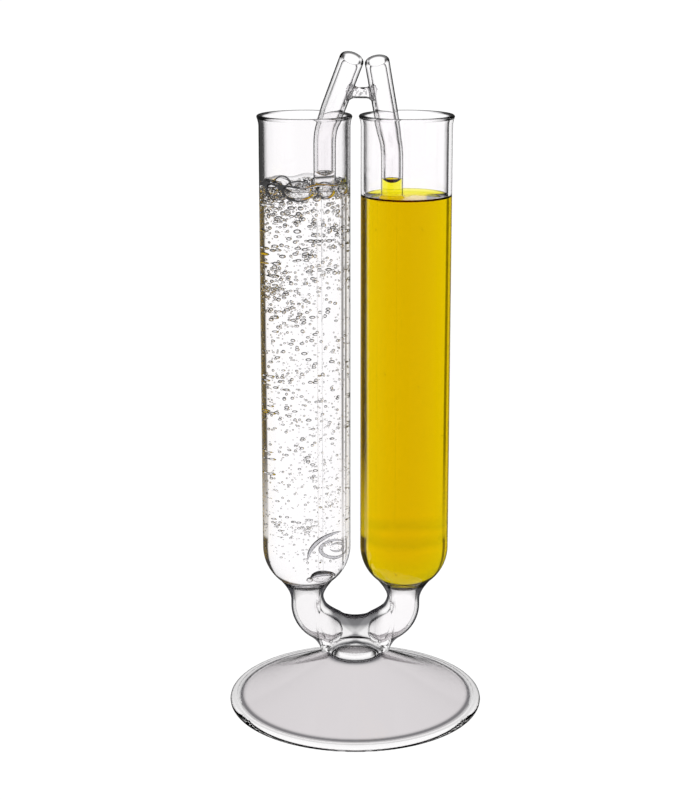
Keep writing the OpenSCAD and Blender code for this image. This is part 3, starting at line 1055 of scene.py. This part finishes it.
def make_world():
    """White all round for the camera and for what lights the floor. What shows through and on the
    glass is a white backdrop between dark screens, as in a bright-field set-up."""
    world = bpy.data.worlds.new("studio")
    bpy.context.scene.world = world
    world.use_nodes = True
    tree = world.node_tree
    tree.nodes.clear()
    output = add_node(tree, "OutputWorld")
    plain = add_node(tree, "Background", {"Color": (1, 1, 1, 1), "Strength": WHITE})
    screens = add_node(tree, "Background", {"Strength": SCREENS})
    mirrored = add_node(tree, "Background", {"Strength": MIRRORED})
    coord = add_node(tree, "TexCoord")
    radial = add_node(tree, "TexGradient", gradient_type="RADIAL")
    parts = add_node(tree, "SeparateXYZ")
    height = add_node(tree, "MapRange", {"From Min": -1.0})
    around, band, beyond = (add_node(tree, "ValToRGB") for _ in range(3))
    set_ramp(around.color_ramp, [(bearing(d), v) for d, v in SURROUND])
    set_ramp(band.color_ramp, [((z + 1) / 2, v) for z, v in BAND])
    set_ramp(beyond.color_ramp, [((z + 1) / 2, v) for z, v in ABOVE_AND_BELOW])
    join = add_node(tree, "MixRGB")
    path = add_node(tree, "LightPath")
    shiny, through = (add_node(tree, "MixShader") for _ in range(2))
    wire(
        tree,
        (coord.outputs["Generated"], radial.inputs["Vector"]),
        (coord.outputs["Generated"], parts.inputs["Vector"]),
        (radial.outputs["Fac"], around.inputs["Fac"]),
        (parts.outputs["Z"], height.inputs["Value"]),
        (height.outputs["Result"], band.inputs["Fac"]),
        (height.outputs["Result"], beyond.inputs["Fac"]),
        (band.outputs["Color"], join.inputs["Fac"]),
        (beyond.outputs["Color"], join.inputs["Color1"]),
        (around.outputs["Color"], join.inputs["Color2"]),
        (join.outputs["Color"], screens.inputs["Color"]),
        (join.outputs["Color"], mirrored.inputs["Color"]),
        (path.outputs["Is Glossy Ray"], shiny.inputs["Fac"]),
        (plain.outputs["Background"], shiny.inputs[1]),
        (mirrored.outputs["Background"], shiny.inputs[2]),
        (path.outputs["Is Transmission Ray"], through.inputs["Fac"]),
        (shiny.outputs["Shader"], through.inputs[1]),
        (screens.outputs["Background"], through.inputs[2]),
        (through.outputs["Shader"], output.inputs["Surface"]),
    )


def make_floor():
    material, _, shader = new_material("studio_floor")
    shader.inputs["Base Color"].default_value = (0.93, 0.93, 0.93, 1)
    shader.inputs["Roughness"].default_value = 0.9
    shader.inputs["Specular IOR Level"].default_value = 0.0
    bpy.ops.mesh.primitive_circle_add(
        vertices=128, radius=FLOOR_R, fill_type="NGON", location=(0, 0, FLOOR_Z)
    )
    floor = bpy.context.object
    floor.name = "studio_floor"
    floor.data.materials.append(material)
    floor.visible_transmission = False
    floor.visible_glossy = False
    floor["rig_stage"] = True


def make_camera():
    data = bpy.data.cameras.new("camera")
    data.lens, data.sensor_width, data.shift_y = LENS, SENSOR, SHIFT
    data.clip_start, data.clip_end = 0.01, 60
    camera = bpy.data.objects.new("camera", data)
    camera.location = CAMERA_AT
    camera.rotation_euler = (math.radians(90 - CAMERA_DOWN), 0, 0)
    bpy.context.scene.collection.objects.link(camera)
    bpy.context.scene.camera = camera


# ---------------- build

make_world()
make_floor()
make_camera()

TUBE_BODY, GLASS_BODY, DARK = (1.0, 0.99, 0.997), (1.0, 0.99, 1.0), grey(0.01)
tube_glass = clear_material("tube_glass", TUBE_IOR, TUBE_BODY, DARK, 0.76, 0.96)
bore_glass = clear_material("bore_glass", TUBE_IOR, TUBE_BODY, DARK, 0.52, 0.74)
lip_glass = clear_material("lip_glass", LIP_IOR, GLASS_BODY, grey(0.005), 0.12, 0.45)
bridge_glass = clear_material("bridge_glass", GLASS_IOR, GLASS_BODY, DARK, 0.4, 0.8)
# glass against drink, and the drink's own side of it, which hardly shows
wet_wall = clear_material("wet_wall", TUBE_IOR / DRINK_IOR, grey(1), grey(0.9), 0.9)
wet_bore = clear_material("wet_bore", GLASS_IOR / DRINK_IOR, grey(1), grey(0.9), 0.9)
water = clear_material("sparkling_drink", HARDLY_IOR, (1.0, 0.994, 1.0), grey(0.1), 0.7)
water_top = clear_material("sparkling_surface", DRINK_IOR, grey(0.985), grey(0.6), 0.9)
# painted shade: the clear drink's surface in the straw is grey, darkening to near black at its
# edges, standing in for the dark meniscus seen there
dark_top = clear_material("straw_surface", DRINK_IOR, grey(0.3), grey(0.02), 0.5)
# painted shade: the bent bubbles, the round bubbles and the foam get grey bodies and dark edges,
# standing in for the dark look that light bent in them gives
streak_skin = clear_material("streak_skin", DRINK_IOR, (0.6, 0.6, 0.62), grey(0.02), 0.1, 0.6)
bubble_skin = clear_material("bubble_skin", DRINK_IOR, grey(0.92), grey(0.2), 0.3, 0.75)
foam_skin = clear_material("foam_skin", DRINK_IOR, grey(0.95), grey(0.02), 0.3, 0.7)
juice = soak(clear_material("yellow_drink", HARDLY_IOR, grey(1), (0.4, 0.37, 0.1), 0.72))
juice = layer_drink(juice)
juice_top = soak(clear_material("yellow_surface", DRINK_IOR, grey(1), (0.9, 0.9, 0.8), 0.9))
speck = clear_material("yellow_speck", DRINK_IOR, (0.8, 0.7, 0.4), (0.1, 0.08, 0.0), 0.1, 0.7)
soak(speck)

make_stand(stand_material())
for side, (wet_ior, wet_edge) in WET_STRAWS.items():
    make_tube(side, [tube_glass, lip_glass, bore_glass, wet_wall])
    straw_glass = straw_material(side + "_straw_glass", LEVEL[side], wet_ior, wet_edge)
    make_straw(side, [straw_glass, wet_bore])
make_bridge(bridge_glass)
foam, bubbles = soda_hollows()
soda = [water, water_top, foam_skin, bubble_skin, streak_skin]
make_drink("left", "sparkling_drink", bubbles, foam, soda, dark_top)
juices = [juice, juice_top, speck, speck]
make_drink("right", "yellow_drink_body", juice_specks(), [], juices, juice_top)

scene = bpy.context.scene
scene.view_settings.view_transform = "Standard"
scene.cycles.max_bounces = 40
scene.cycles.transmission_bounces = 40
scene.cycles.glossy_bounces = 8
UNSEEN_IN_REFLECTIONS = ("left_tube_glass", "sparkling_drink", "left_straw_drink")
for piece in list(scene.objects):
    if piece.type == "MESH" and "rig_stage" not in piece:
        piece.visible_diffuse = False
        piece.visible_shadow = False
        piece.visible_glossy = piece.name not in UNSEEN_IN_REFLECTIONS
